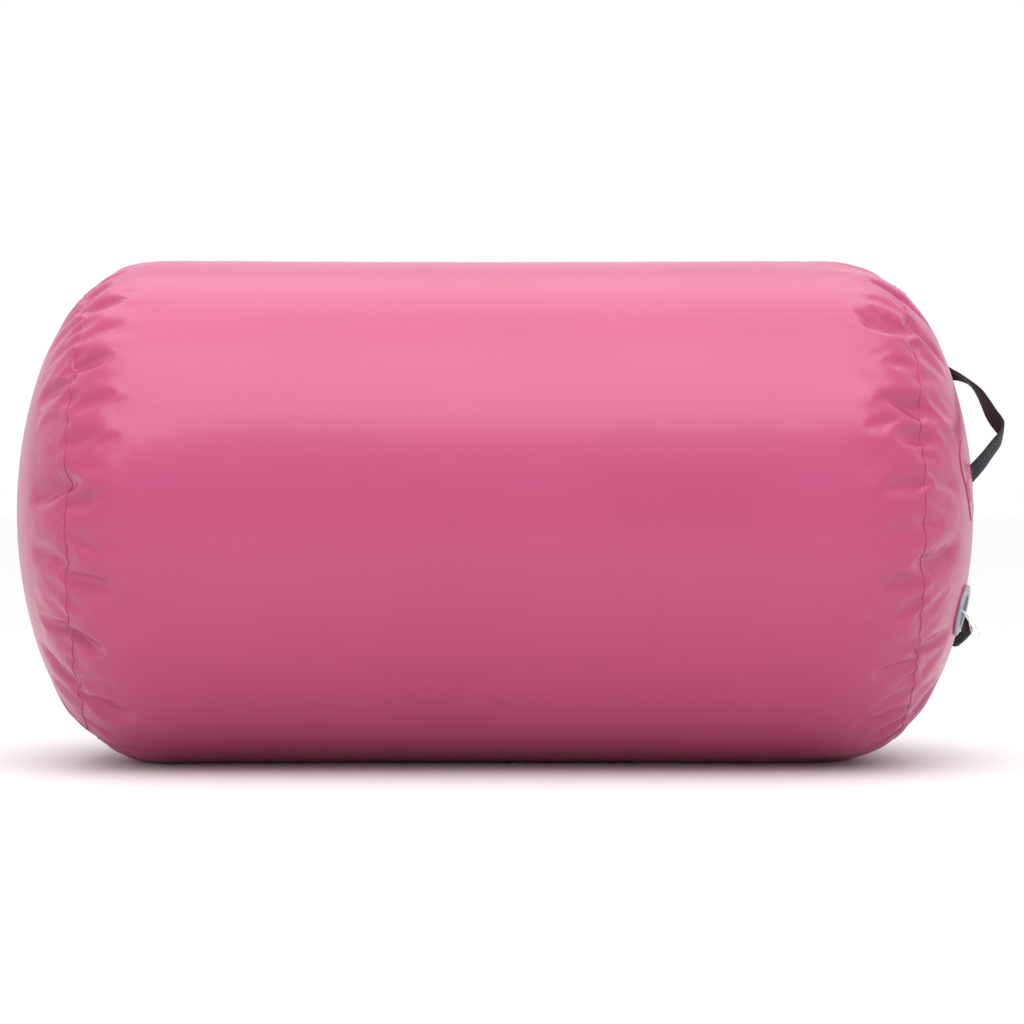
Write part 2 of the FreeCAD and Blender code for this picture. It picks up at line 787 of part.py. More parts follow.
for name, feature in nodes.items():
    feature.Label = name
doc.recompute()
faults = [f"{o.Name}: {o.State}" for o in doc.Objects if {"Invalid", "Error"} & set(o.State)]
for name, feature in nodes.items():
    shape = feature.Shape
    if shape.isNull() or not shape.isValid() or len(shape.Solids) != 1:
        faults.append(f"{name}: null, not valid or not one solid ({len(shape.Solids)})")
if faults:
    raise SystemExit("\n".join(faults))
for name, feature in nodes.items():
    feature.Shape.exportStep(f"parts/{name}.step")
    span = feature.Shape.BoundBox
    print(f"{name:20s} {feature.Shape.Volume / 1000:9.2f} cm3  x {span.XMin:.1f} {span.XMax:.1f}"
          f"  y {span.YMin:.1f} {span.YMax:.1f}  z {span.ZMin:.1f} {span.ZMax:.1f}")
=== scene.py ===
import json
import math

import bmesh
import bpy
import numpy as np
from mathutils import Matrix, Vector
from mathutils.bvhtree import BVHTree
from mathutils.geometry import delaunay_2d_cdt


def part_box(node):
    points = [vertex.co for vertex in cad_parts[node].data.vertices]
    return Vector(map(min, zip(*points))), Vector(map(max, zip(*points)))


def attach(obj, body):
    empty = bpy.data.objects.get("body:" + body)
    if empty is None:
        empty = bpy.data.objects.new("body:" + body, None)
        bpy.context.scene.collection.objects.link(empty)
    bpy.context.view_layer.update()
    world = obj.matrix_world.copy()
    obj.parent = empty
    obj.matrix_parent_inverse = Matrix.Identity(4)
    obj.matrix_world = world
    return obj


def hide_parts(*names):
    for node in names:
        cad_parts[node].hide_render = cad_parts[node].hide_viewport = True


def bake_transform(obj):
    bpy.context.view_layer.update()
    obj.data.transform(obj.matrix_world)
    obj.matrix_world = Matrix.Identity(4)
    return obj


# Inflatable gymnastics roll: pink air-filled drum, two webbing hand loops and a recessed air valve

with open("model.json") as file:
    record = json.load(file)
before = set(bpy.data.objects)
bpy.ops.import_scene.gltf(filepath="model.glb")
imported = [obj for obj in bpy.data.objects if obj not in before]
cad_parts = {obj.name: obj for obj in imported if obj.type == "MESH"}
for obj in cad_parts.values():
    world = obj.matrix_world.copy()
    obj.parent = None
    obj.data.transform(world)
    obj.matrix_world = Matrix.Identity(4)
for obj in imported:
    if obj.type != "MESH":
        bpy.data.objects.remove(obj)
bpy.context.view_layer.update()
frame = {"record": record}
mm = 0.001
joints = {j["name"]: j for j in frame["record"]["behaviour"]["joints"]}


def cornersOf(node):
    low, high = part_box(node)
    return Vector(low), Vector(high)


# The drum's outline, from the middle of the barrel (x = 0) over the seam to the apex of the end
roll = {
    "axisHeight": 0.296,
    "waist": 0.298,
    "shoulder": (0.395, 0.300),
    "shoulderMid": (0.437, 0.290),
    "seamX": cornersOf("barrel_panel")[1].x,
    "seamRadius": 0.270,
    "domeEdge": 0.185,
    "domeRadius": 0.520,
    "apexX": cornersOf("end_panel_valve")[1].x,
}
domeCentre = Vector((roll["apexX"] - roll["domeRadius"], 0, roll["axisHeight"]))


def deselectAll():
    if bpy.context.mode != "OBJECT":
        bpy.ops.object.mode_set(mode="OBJECT")
    bpy.ops.object.select_all(action="DESELECT")


def activate(piece):
    deselectAll()
    piece.select_set(True)
    bpy.context.view_layer.objects.active = piece
    return piece


def applyModifiers(piece):
    activate(piece)
    for name in [m.name for m in piece.modifiers]:
        bpy.ops.object.modifier_apply(modifier=name)
    return piece


def evenSides(piece):
    # all faces turned the same way, out of the piece
    activate(piece)
    bpy.ops.object.mode_set(mode="EDIT")
    bpy.ops.mesh.select_all(action="SELECT")
    bpy.ops.mesh.normals_make_consistent(inside=False)
    bpy.ops.object.mode_set(mode="OBJECT")
    return piece


def clothMesh(name, points, faces, cut=None):
    # cut holds each point's place on the flat panel, kept as the piece's UV map
    mesh = bpy.data.meshes.new(name)
    mesh.from_pydata([tuple(p) for p in points], [], [tuple(int(i) for i in f) for f in faces])
    if cut is not None:
        layer = mesh.uv_layers.new(name="cut")
        around = 2 * math.pi * sheetCut["radius"]
        for polygon in mesh.polygons:
            spots = [list(cut[mesh.loops[i].vertex_index]) for i in polygon.loop_indices]
            far = max(s[0] for s in spots)
            for i, spot in zip(polygon.loop_indices, spots):
                if far - spot[0] > around / 2:
                    spot[0] += around
                layer.data[i].uv = spot
    piece = bpy.data.objects.new(name, mesh)
    bpy.context.scene.collection.objects.link(piece)
    activate(piece)
    bpy.ops.object.shade_smooth()
    return piece


def subdivided(piece, levels=1):
    mod = piece.modifiers.new("Subdivision", "SUBSURF")
    mod.levels = mod.render_levels = levels
    mod.uv_smooth = "NONE"
    return applyModifiers(piece)


def thickened(piece, thickness, offset, bevel=0):
    mod = piece.modifiers.new("Solidify", "SOLIDIFY")
    mod.thickness = thickness
    mod.offset = offset
    if bevel:
        edge = piece.modifiers.new("Bevel", "BEVEL")
        edge.width = bevel
        edge.segments = 2
        edge.limit_method = "ANGLE"
        edge.angle_limit = math.radians(50)
    return applyModifiers(piece)


def pointsOf(piece):
    flat = np.empty(len(piece.data.vertices) * 3)
    piece.data.vertices.foreach_get("co", flat)
    return flat.reshape(-1, 3)


def setPoints(piece, points):
    piece.data.vertices.foreach_set("co", np.asarray(points, float).ravel())
    piece.data.update()


def smoothStep(t):
    t = np.clip(t, 0, 1)
    return t * t * (3 - 2 * t)


def dress(piece, material):
    piece.data.materials.clear()
    piece.data.materials.append(material)
    return piece


class Nodes:
    # a material's node tree with short calls for what every finish here uses

    def __init__(self, name):
        self.material = bpy.data.materials.new(name)
        self.material.use_nodes = True
        self.tree = self.material.node_tree
        self.shader = self.tree.nodes["Principled BSDF"]

    def add(self, kind, **values):
        node = self.tree.nodes.new(kind)
        for key, entry in values.items():
            if hasattr(node, key):
                setattr(node, key, entry)
            else:
                node.inputs[key.replace("_", " ")].default_value = entry
        return node

    def link(self, source, target):
        self.tree.links.new(source, target)

    def coordinates(self, output="Object", scale=(1, 1, 1), turn=(0, 0, 0)):
        place = self.add("ShaderNodeTexCoord")
        mapping = self.add("ShaderNodeMapping")
        mapping.inputs["Scale"].default_value = scale
        mapping.inputs["Rotation"].default_value = turn
        self.link(place.outputs[output], mapping.inputs["Vector"])
        return mapping.outputs["Vector"]

    def noise(self, vector, scale, detail=3, rough=0.5):
        node = self.add("ShaderNodeTexNoise", Scale=scale, Detail=detail, Roughness=rough)
        self.link(vector, node.inputs["Vector"])
        return node.outputs["Fac"]

    def wave(self, vector, scale, direction, profile="SIN", distort=0):
        node = self.add("ShaderNodeTexWave", Scale=scale, Distortion=distort)
        node.bands_direction = direction
        node.wave_profile = profile
        self.link(vector, node.inputs["Vector"])
        return node.outputs["Fac"]

    def math(self, operation, first, second=0.5):
        node = self.add("ShaderNodeMath")
        node.operation = operation
        for socket, entry in zip(node.inputs, (first, second)):
            if isinstance(entry, (int, float)):
                socket.default_value = entry
            else:
                self.link(entry, socket)
        return node.outputs[0]

    def ramp(self, factor, stops):
        node = self.add("ShaderNodeValToRGB")
        while len(node.color_ramp.elements) < len(stops):
            node.color_ramp.elements.new(0.5)
        for element, (place, colour) in zip(node.color_ramp.elements, stops):
            element.position = place
            element.color = (*colour, 1)
        self.link(factor, node.inputs["Fac"])
        return node.outputs["Color"]

    def spread(self, factor, low, high):
        node = self.add("ShaderNodeMapRange")
        node.inputs["To Min"].default_value = low
        node.inputs["To Max"].default_value = high
        self.link(factor, node.inputs["Value"])
        return node.outputs[0]

    def bump(self, layers):
        # layers are (height, strength, distance), finest first
        normal = None
        for height, strength, distance in layers:
            node = self.add("ShaderNodeBump")
            node.inputs["Strength"].default_value = strength
            node.inputs["Distance"].default_value = distance
            self.link(height, node.inputs["Height"])
            if normal:
                self.link(normal, node.inputs["Normal"])
            normal = node.outputs["Normal"]
        self.link(normal, self.shader.inputs["Normal"])

    def set(self, **values):
        for key, entry in values.items():
            self.shader.inputs[key.replace("_", " ")].default_value = entry

    def drive(self, socket, source):
        self.link(source, self.shader.inputs[socket])


waveUnit = 20  # wave texture scale of one, in waves to a unit of length
pinkPvc = {
    "pale": (0.402, 0.036, 0.128),
    "deep": (0.378, 0.032, 0.117),
    "roughness": (0.33, 0.42),
    "weavePitch": 1.1 * mm,
}


def makePinkPvc(name, shade=1.0, seamLines=True):
    m = Nodes(name)
    place = m.coordinates()
    cloud = m.noise(place, 5, 4)
    colours = [tuple(c * shade for c in pinkPvc[key]) for key in ("deep", "pale")]
    m.drive("Base Color", m.ramp(cloud, [(0.3, colours[0]), (0.7, colours[1])]))
    scuffs = m.noise(m.coordinates(scale=(9, 26, 26)), 6, 6, 0.62)
    m.drive("Roughness", m.spread(scuffs, *pinkPvc["roughness"]))
    m.set(Specular_IOR_Level=0.5, Coat_Weight=0.25, Coat_Roughness=0.22)
    pitch = 1 / (pinkPvc["weavePitch"] * waveUnit)
    warp = m.wave(place, pitch, "Y")
    weft = m.wave(place, pitch, "Z")
    along = m.wave(place, pitch, "X")
    weave = m.math("MULTIPLY", m.math("ADD", warp, weft), along)
    layers = [(weave, 0.10, 0.0002), (m.noise(place, 60, 5, 0.6), 0.12, 0.0012)]
    layers.append((m.noise(place, 14, 3), 0.10, 0.006))
    if seamLines:
        layers.append((weldMarks(m), 0.55, 0.0009))
    m.bump(layers)
    return m.material


weldMark = {
    "dashesAt": 4.2 * mm,
    "dashesHalf": 0.6 * mm,
    "lineAt": 9.6 * mm,
    "lineHalf": 0.5 * mm,
    "dashPitch": 7.5 * mm,
    "dashShare": 0.62,
}


def weldMarks(m):
    # two pressed lines beside the seam, the one nearer to it broken into short welds
    spot = m.add("ShaderNodeUVMap", uv_map="cut")
    split = m.add("ShaderNodeSeparateXYZ")
    m.link(spot.outputs["UV"], split.inputs[0])
    distance = m.math("ABSOLUTE", split.outputs["Y"])

    def lineAt(place, half):
        offset = m.math("ABSOLUTE", m.math("SUBTRACT", distance, place))
        return m.math("LESS_THAN", offset, half)

    near = lineAt(weldMark["dashesAt"], weldMark["dashesHalf"])
    far = lineAt(weldMark["lineAt"], weldMark["lineHalf"])
    beat = m.math("FRACT", m.math("MULTIPLY", split.outputs["X"], 1 / weldMark["dashPitch"]))
    dashes = m.math("MULTIPLY", near, m.math("LESS_THAN", beat, weldMark["dashShare"]))
    return m.math("SUBTRACT", 1, m.math("ADD", dashes, far))


def makeWebbing():
    m = Nodes("navyWebbing")
    spot = m.coordinates("UV", scale=(1000, 1000, 1000))
    ribs = m.wave(spot, 1 / (1.55 * waveUnit), "Y", "SIN", 0.4)
    picks = m.wave(spot, 1 / (0.95 * waveUnit), "X", "SIN", 0.6)
    cloth = m.math("MULTIPLY", ribs, picks)
    fibres = m.noise(spot, 3.1, 4, 0.6)
    tone = m.math("ADD", m.math("MULTIPLY", cloth, 0.7), m.math("MULTIPLY", fibres, 0.3))
    stops = [(0.1, (0.006, 0.005, 0.010)), (0.8, (0.020, 0.017, 0.032))]
    m.drive("Base Color", m.ramp(tone, stops))
    m.drive("Roughness", m.spread(fibres, 0.55, 0.8))
    m.set(Sheen_Weight=0.1, Sheen_Roughness=0.4, Specular_IOR_Level=0.22)
    m.bump([(fibres, 0.25, 0.0001), (cloth, 0.8, 0.0004)])
    return m.material


def makeMoulded(name, low, high, roughness, grain=0.15):
    # moulded plastic: cloudy colour, fine pebble grain and a few soft flow marks
    m = Nodes(name)
    place = m.coordinates()
    m.drive("Base Color", m.ramp(m.noise(place, 40, 4), [(0.3, low), (0.7, high)]))
    m.drive("Roughness", m.spread(m.noise(place, 320, 4, 0.6), *roughness))
    m.set(Specular_IOR_Level=0.5)
    m.bump([(m.noise(place, 2600, 2), grain, 0.00008), (m.noise(place, 120, 3), 0.1, 0.0004)])
    return m.material


def makeRubber():
    m = Nodes("blackRubber")
    place = m.coordinates()
    stops = [(0.3, (0.012, 0.012, 0.013)), (0.7, (0.03, 0.03, 0.03))]
    m.drive("Base Color", m.ramp(m.noise(place, 90, 4), stops))
    m.drive("Roughness", m.spread(m.noise(place, 500, 3), 0.45, 0.65))
    m.bump([(m.noise(place, 1500, 2), 0.2, 0.0001)])
    return m.material


def makeSteel():
    m = Nodes("springSteel")
    place = m.coordinates()
    m.set(Metallic=1.0)
    stops = [(0.3, (0.42, 0.42, 0.44)), (0.7, (0.62, 0.62, 0.64))]
    m.drive("Base Color", m.ramp(m.noise(place, 150, 3), stops))
    m.drive("Roughness", m.spread(m.noise(place, 900, 3), 0.22, 0.4))
    m.bump([(m.noise(place, 2500, 2), 0.1, 0.00005)])
    return m.material


def makeCordBraid():
    m = Nodes("whiteCord")
    place = m.coordinates()
    strands = 1 / (0.6 * mm * waveUnit)
    one = m.wave(m.coordinates(turn=(0, 0.9, 0)), strands, "X")
    two = m.wave(m.coordinates(turn=(0, -0.4, 0)), strands, "X")
    braid = m.math("MAXIMUM", one, two)
    fuzz = m.noise(place, 800, 3)
    tone = m.math("ADD", m.math("MULTIPLY", braid, 0.6), m.math("MULTIPLY", fuzz, 0.4))
    m.drive("Base Color", m.ramp(tone, [(0.2, (0.60, 0.58, 0.55)), (0.8, (0.86, 0.85, 0.82))]))
    m.drive("Roughness", m.spread(m.noise(place, 700, 3), 0.6, 0.85))
    m.set(Sheen_Weight=0.2)
    m.bump([(braid, 0.5, 0.0002)])
    return m.material


pvcSkin = makePinkPvc("pinkPvc")
pvcPatch = makePinkPvc("pinkPvcPatch", 1.02, seamLines=False)
webbing = makeWebbing()
greyPlastic = makeMoulded("greyPlastic", (0.24, 0.24, 0.29), (0.31, 0.31, 0.36), (0.28, 0.42))
# painted shade: the cap's own grey plastic, made darker than the collar to stand in for the shade
# inside the valve's recess
capPlasticPaintedShade = makeMoulded("capPlasticPaintedShade", (0.10, 0.10, 0.13), (0.14, 0.14, 0.17), (0.30, 0.42))
darkPlastic = makeMoulded("darkPlastic", (0.020, 0.020, 0.022), (0.035, 0.035, 0.038), (0.35, 0.5))
rubber = makeRubber()
steel = makeSteel()
cordBraid = makeCordBraid()
print("materials made")


sheetCut = {
    "radius": 0.300,        # of the flat end panels and of the barrel's tube
    "step": 0.0080,         # between the cloth's points
    "tubeLength": 0.26,     # of barrel taken into the cloth with each end
    "ringsInEnd": 8,        # rings of points inside the seam, before the open lattice
    "middleRings": 14,      # of points between the two tubes
    "turns": {1: 0, -1: 64},  # how far each end's folds are turned round, in points
}
rowRise = sheetCut["step"] * 0.866  # between the lattice's rows
air = {
    "pressure": 80,
    "tension": 240,
    "compression": 60,
    "shear": 30,
    "bending": 0.01,
    "damping": 2,
    "mass": 0.02,
    "quality": 7,
    "frames": 26,
    "seed": 3,
    "unevenness": 0.00012,
    "heldRings": 3,
    "evenBelow": 0.05,
}
# the cloth's folds are made deeper by these factors, from the barrel to inside the seam, in metres
# from it, with crests flatter than valleys; past the fades there are none
folds = {
    "distance": [-0.20, -0.10, -0.02, 0.02, 0.06],
    "gain": [3.2, 3.0, 1.9, 1.2, 1.0],
    "crest": 0.45,
    "barrelFade": (0.215, 0.08),
    "endFade": (0.085, 0.03),
}


def arcThrough(first, middle, last, steps):
    a, b, c = (np.array(p, float) for p in (first, middle, last))
    rows = 2 * np.array([b - a, c - a])
    centre = np.linalg.solve(rows, [b @ b - a @ a, c @ c - a @ a])
    angles = [math.atan2(*(p - centre)[::-1]) for p in (a, c)]
    turn = np.linspace(*angles, steps)
    return centre + np.linalg.norm(a - centre) * np.column_stack([np.cos(turn), np.sin(turn)])


def rollOutline():
    # (distance from the seam, x, radius) down the outline: negative on the barrel
    seam = np.array([roll["seamX"], roll["seamRadius"]])
    centre = np.array([domeCentre.x, 0])
    edgeAngle = math.asin(roll["domeEdge"] / roll["domeRadius"])
    edgeWay = np.array([math.cos(edgeAngle), math.sin(edgeAngle)])
    edge = centre + edgeWay * roll["domeRadius"]
    chord = seam - edge
    edgeRadius = -(chord @ chord) / (2 * chord @ edgeWay)
    edgeCentre = edge - edgeWay * edgeRadius
    seamWay = (seam - edgeCentre) / edgeRadius
    middleWay = (seamWay + edgeWay) / np.linalg.norm(seamWay + edgeWay)
    x = np.linspace(0, roll["shoulder"][0], 60)
    flare = roll["shoulder"][1] - roll["waist"]
    barrel = np.column_stack([x, roll["waist"] + flare * (x / x[-1]) ** 2])
    shoulder = arcThrough(roll["shoulder"], roll["shoulderMid"], seam, 20)
    tube = np.vstack([barrel[:-1], shoulder])
    for _ in range(6):  # rounds off the corner at the shoulder
        tube[1:-1] = (tube[:-2] + 2 * tube[1:-1] + tube[2:]) / 4
    knuckle = arcThrough(seam, edgeCentre + middleWay * edgeRadius, edge, 20)
    angles = np.linspace(edgeAngle, 0, 40)
    dome = centre + roll["domeRadius"] * np.column_stack([np.cos(angles), np.sin(angles)])
    line = np.vstack([tube, knuckle[1:], dome[1:]])
    run = np.r_[0, np.cumsum(np.linalg.norm(np.diff(line, axis=0), axis=1))]
    return run - run[len(tube) - 1], line[:, 0], line[:, 1]


outlineRun, outlineX, outlineRadius = rollOutline()


def flatEnd():
    # one end before it is inflated: a flat disc closing a straight tube, in rings of points
    radius, step, length = sheetCut["radius"], sheetCut["step"], sheetCut["tubeLength"]
    count = 2 * round(math.pi * radius / step)
    tubeRows = 2 * round(length / rowRise / 2)
    points, spots, rings, faces = [], [], [], []
    for row in range(-tubeRows, sheetCut["ringsInEnd"] + 1):
        ring = []
        for k in range(count):
            turn = 2 * math.pi * (k + 0.5 * (row % 2)) / count
            reach = radius - max(row, 0) * rowRise
            ring.append(len(points))
            x = length + min(row, 0) * rowRise
            points.append((x, reach * math.cos(turn), reach * math.sin(turn)))
            spots.append((turn * radius, row * rowRise))
        if rings:
            before, lead = rings[-1], row % 2
            for k in range(count):
                after = (k + 1) % count
                third = ring[k] if lead else ring[after]
                faces.append((before[k], before[after], third))
                faces.append((ring[k], before[after] if lead else before[k], ring[after]))
        rings.append(ring)
    edge = rings[-1]
    inner = radius - sheetCut["ringsInEnd"] * rowRise
    flat = [Vector(points[i][1:]) for i in edge]
    reach = round(inner / rowRise) + 2
    for j in range(-reach, reach + 1):
        for i in range(-reach * 2, reach * 2 + 1):
            spot = Vector(((i + 0.5 * (j % 2)) * step, j * rowRise))
            if spot.length < inner - 0.55 * step:
                flat.append(spot)
    lattice = delaunay_2d_cdt(flat, [], [list(range(count))], 1, 1e-7)
    numbers = {}
    for new, olds in enumerate(lattice[3]):
        if olds[0] < count:
            numbers[new] = edge[olds[0]]
        else:
            spot = lattice[0][new]
            numbers[new] = len(points)
            points.append((length, spot.x, spot.y))
            turn = math.atan2(spot.y, spot.x) % (2 * math.pi)
            spots.append((turn * radius, radius - spot.length))
    faces += [tuple(numbers[i] for i in f) for f in lattice[2]]
    return np.array(points), np.array(spots), rings, faces, tubeRows


def inflated(points, faces, pinned):
    # blows the end up as cloth with its far rim held
    far = len(points)
    rim = pinned[0]
    closed = list(faces) + [(rim[k - 1], rim[k], far) for k in range(len(rim))]
    piece = evenSides(clothMesh("endCloth", np.vstack([points, [0, 0, 0]]), closed))
    ordered = [tuple(p.vertices) for p in piece.data.polygons][: len(faces)]
    chance = np.random.default_rng(air["seed"])
    moved = pointsOf(piece)
    loose = moved[:, 0] > air["evenBelow"]
    moved[loose] += chance.normal(0, air["unevenness"], (loose.sum(), 3))
    setPoints(piece, moved)
    held = piece.vertex_groups.new(name="held")
    held.add([i for ring in pinned[: air["heldRings"]] for i in ring] + [far], 1, "REPLACE")
    mod = piece.modifiers.new("Cloth", "CLOTH")
    cloth = mod.settings
    cloth.quality = air["quality"]
    cloth.mass = air["mass"]
    cloth.tension_stiffness = air["tension"]
    cloth.compression_stiffness = air["compression"]
    cloth.shear_stiffness = air["shear"]
    cloth.bending_stiffness = air["bending"]
    cloth.air_damping = air["damping"]
    cloth.use_pressure = True
    cloth.uniform_pressure_force = air["pressure"]
    cloth.vertex_group_mass = "held"
    cloth.effector_weights.gravity = 0
    mod.collision_settings.use_collision = False
    mod.point_cache.frame_end = air["frames"]
    scene = bpy.context.scene
    for step in range(1, air["frames"] + 1):
        scene.frame_set(step)
    blown = piece.evaluated_get(bpy.context.evaluated_depsgraph_get())
    result = np.array([v.co[:] for v in blown.data.vertices])[:far]
    scene.frame_set(1)
    bpy.data.objects.remove(piece)
    return result, ordered


def fitToOutline(blown, spots):
    # lays the blown cloth's folds, made deeper, on the drum's own outline
    run = spots[:, 1]
    scale = np.where(run > 0, outlineRun[-1] / sheetCut["radius"], 1)
    x = np.interp(run * scale, outlineRun, outlineX)
    radius = np.interp(run * scale, outlineRun, outlineRadius)
    turn = spots[:, 0] / sheetCut["radius"]
    if blown is None:
        return x, radius, turn
    blownRadius = np.hypot(blown[:, 1], blown[:, 2])
    blownTurn = np.arctan2(blown[:, 2], blown[:, 1])
    bins = np.round(run / rowRise).astype(int)
    bins -= bins.min()
    size = np.bincount(bins)
    meanX = (np.bincount(bins, blown[:, 0]) / size)[bins]
    meanRadius = (np.bincount(bins, blownRadius) / size)[bins]
    barrelEdge, barrelSoft = folds["barrelFade"]
    endEdge, endSoft = folds["endFade"]
    keep = smoothStep((barrelEdge + run) / barrelSoft) * smoothStep((endEdge - run) / endSoft)
    lag = (blownTurn - turn + math.pi) % (2 * math.pi) - math.pi
    fold = blownRadius - meanRadius
    gain = np.interp(run, folds["distance"], folds["gain"])
    fold *= keep * gain * np.where(fold > 0, folds["crest"], 1)
    return x + keep * (blown[:, 0] - meanX), radius + fold, turn + keep * lag


flatPoints, flatSpots, rings, flatFaces, tubeRows = flatEnd()
blownPoints, flatFaces = inflated(flatPoints, flatFaces, rings)
foldX, foldRadius, foldTurn = fitToOutline(blownPoints, flatSpots)
print("end inflated,", len(flatPoints), "points")

count = len(rings[0])
seamRing = tubeRows
inTube = np.zeros(len(flatPoints), bool)
inTube[np.array(rings[: seamRing + 1]).ravel()] = True
inEnd = ~inTube
inEnd[rings[seamRing]] = True


def endPlaces(side):
    turn = foldTurn + sheetCut["turns"][side] * 2 * math.pi / count
    y = foldRadius * np.cos(turn)
    z = foldRadius * np.sin(turn) + roll["axisHeight"]
    return np.column_stack([side * foldX, y, z])


def part(side, keep, name):
    # the faces of one end whose points are all kept
    places = endPlaces(side)
    faces = [f for f in flatFaces if all(keep[i] for i in f)]
    used = sorted({i for f in faces for i in f})
    number = {old: new for new, old in enumerate(used)}
    order = [tuple(number[i] for i in (f if side > 0 else reversed(f))) for f in faces]
    cut = [(flatSpots[i][0], flatSpots[i][1]) for i in used]
    return clothMesh(name, places[used], order, cut)


overFloor = 0.2 * mm


def restOnFloor(piece):
    points = pointsOf(piece)
    points[:, 2] = np.maximum(points[:, 2], overFloor)
    setPoints(piece, points)
    return piece


def makeBarrel():
    # both tubes and plain rings between them, as one sheet
    points, cut, faces = [], [], []
    rims = {}
    tubeFaces = [f for f in flatFaces if all(inTube[i] for i in f)]
    used = np.flatnonzero(inTube)
    for side in (1, -1):
        base = len(points)
        number = {old: base + new for new, old in enumerate(used)}
        points += list(endPlaces(side)[used])
        cut += [(flatSpots[i][0], flatSpots[i][1]) for i in used]
        faces += [tuple(number[i] for i in (f if side > 0 else reversed(f))) for f in tubeFaces]
        shift = sheetCut["turns"][side]
        rims[side] = [number[rings[0][(k - shift) % count]] for k in range(count)]
    before = rims[1]
    rimX = points[before[0]][0]
    middle = np.linspace(rimX, -rimX, sheetCut["middleRings"] + 2)[1:-1]
    onBarrel = outlineRun < 0
    for x in middle:
        ring = []
        radius = np.interp(abs(x), outlineX[onBarrel], outlineRadius[onBarrel])
        for k in range(count):
            turn = 2 * math.pi * k / count
            ring.append(len(points))
            height = roll["axisHeight"] + radius * math.sin(turn)
            points.append((x, radius * math.cos(turn), height))
            cut.append((turn * sheetCut["radius"], abs(x) - roll["seamX"]))
        faces += [(before[k - 1], before[k], ring[k], ring[k - 1]) for k in range(count)]
        before = ring
    last = rims[-1]
    faces += [(before[k - 1], before[k], last[k], last[k - 1]) for k in range(count)]
    piece = subdivided(pointOutwards(clothMesh("barrelSkin", points, faces, cut)))
    return restOnFloor(puckerSeam(piece))


# small puckers that the weld pulls in along each seam
pucker = {
    "waves": 70,
    "depth": 1.4 * mm,
    "sway": 1.3 * mm,
    "reach": 13 * mm,
    "wander": [(1.7, 3, 0.4), (1.1, 8, 2.1)],  # size, waves round the seam and their start
    "endWander": (0.7, 13),  # the same, with another start at each end
    "unevenness": 0.38,
    "sink": 0.5,
}


def puckerSeam(piece):
    corners = np.empty(len(piece.data.loops), int)
    piece.data.loops.foreach_get("vertex_index", corners)
    spots = np.empty(2 * len(corners))
    piece.data.uv_layers["cut"].data.foreach_get("uv", spots)
    cut = np.zeros((len(piece.data.vertices), 2))
    cut[corners] = spots.reshape(-1, 2)
    points = pointsOf(piece)
    side = np.sign(points[:, 0])
    turn = cut[:, 0] / sheetCut["radius"]
    wander = sum(size * np.sin(waves * turn + start) for size, waves, start in pucker["wander"])
    size, waves = pucker["endWander"]
    phase = pucker["waves"] * turn + (wander + size * np.sin(waves * turn + side))
    uneven = pucker["unevenness"]
    size = 1 - uneven + uneven * np.sin(5 * turn + 2 * side)
    size *= np.exp(-((cut[:, 1] / pucker["reach"]) ** 2))
    out = points - [0, 0, roll["axisHeight"]]
    out[:, 0] = 0
    out /= np.linalg.norm(out, axis=1)[:, None] + 1e-9
    points += out * (pucker["depth"] * size * (np.sin(phase) - pucker["sink"]))[:, None]
    points[:, 0] += side * pucker["sway"] * size * np.cos(phase)
    setPoints(piece, points)
    return piece


def pointOutwards(piece):
    # one side out all over, and that side away from the roll's middle
    evenSides(piece)
    centre = Vector((0, 0, roll["axisHeight"]))
    if sum((p.center - centre).dot(p.normal) * p.area for p in piece.data.polygons) < 0:
        bpy.ops.object.mode_set(mode="EDIT")
        bpy.ops.mesh.flip_normals()
        bpy.ops.object.mode_set(mode="OBJECT")
    return piece


barrelSkin = makeBarrel()
dress(barrelSkin, pvcSkin)
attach(barrelSkin, "roll")
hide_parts("barrel_panel")

valveJoint = joints["cap_turn"]
valveAxis = Vector(valveJoint["axis"]).normalized()
valvePlace = Vector(valveJoint["pos_m"])
valveHoleRadius = 25 * mm
endSkins = {}
for side, name in ((1, "valve"), (-1, "plain")):
    skin = subdivided(pointOutwards(part(side, inEnd, name + "EndSkin")))
    restOnFloor(puckerSeam(skin))
    dress(skin, pvcSkin)
    endSkins[side] = skin


def cutValveHole(skin, radius):
    activate(skin)
    bpy.ops.object.mode_set(mode="EDIT")
    bpy.ops.mesh.select_all(action="DESELECT")
    bpy.context.tool_settings.mesh_select_mode = (False, False, True)
    mesh = bmesh.from_edit_mesh(skin.data)
    for face in mesh.faces:
        away = face.calc_center_median() - valvePlace
        face.select = (away - valveAxis * away.dot(valveAxis)).length < radius
    bmesh.update_edit_mesh(skin.data)
    bpy.ops.mesh.delete(type="FACE")
    bpy.ops.object.mode_set(mode="OBJECT")


skinTree = BVHTree.FromObject(endSkins[1], bpy.context.evaluated_depsgraph_get())
cutValveHole(endSkins[1], valveHoleRadius)
for side, name in ((1, "valve"), (-1, "plain")):
    skin = endSkins[side]
    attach(skin, "roll")
    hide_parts(f"end_panel_{name}")
print("skin made")


band = {"rows": 2, "thick": 0.7 * mm, "edge": 0.25 * mm}
taping = {"rows": 3, "thick": 0.9 * mm, "under": 1.2 * mm, "lapWidth": 40 * mm}


def ringRange(first, last):
    keep = np.zeros(len(flatPoints), bool)
    keep[np.array(rings[seamRing + first : seamRing + last + 1]).ravel()] = True
    return keep


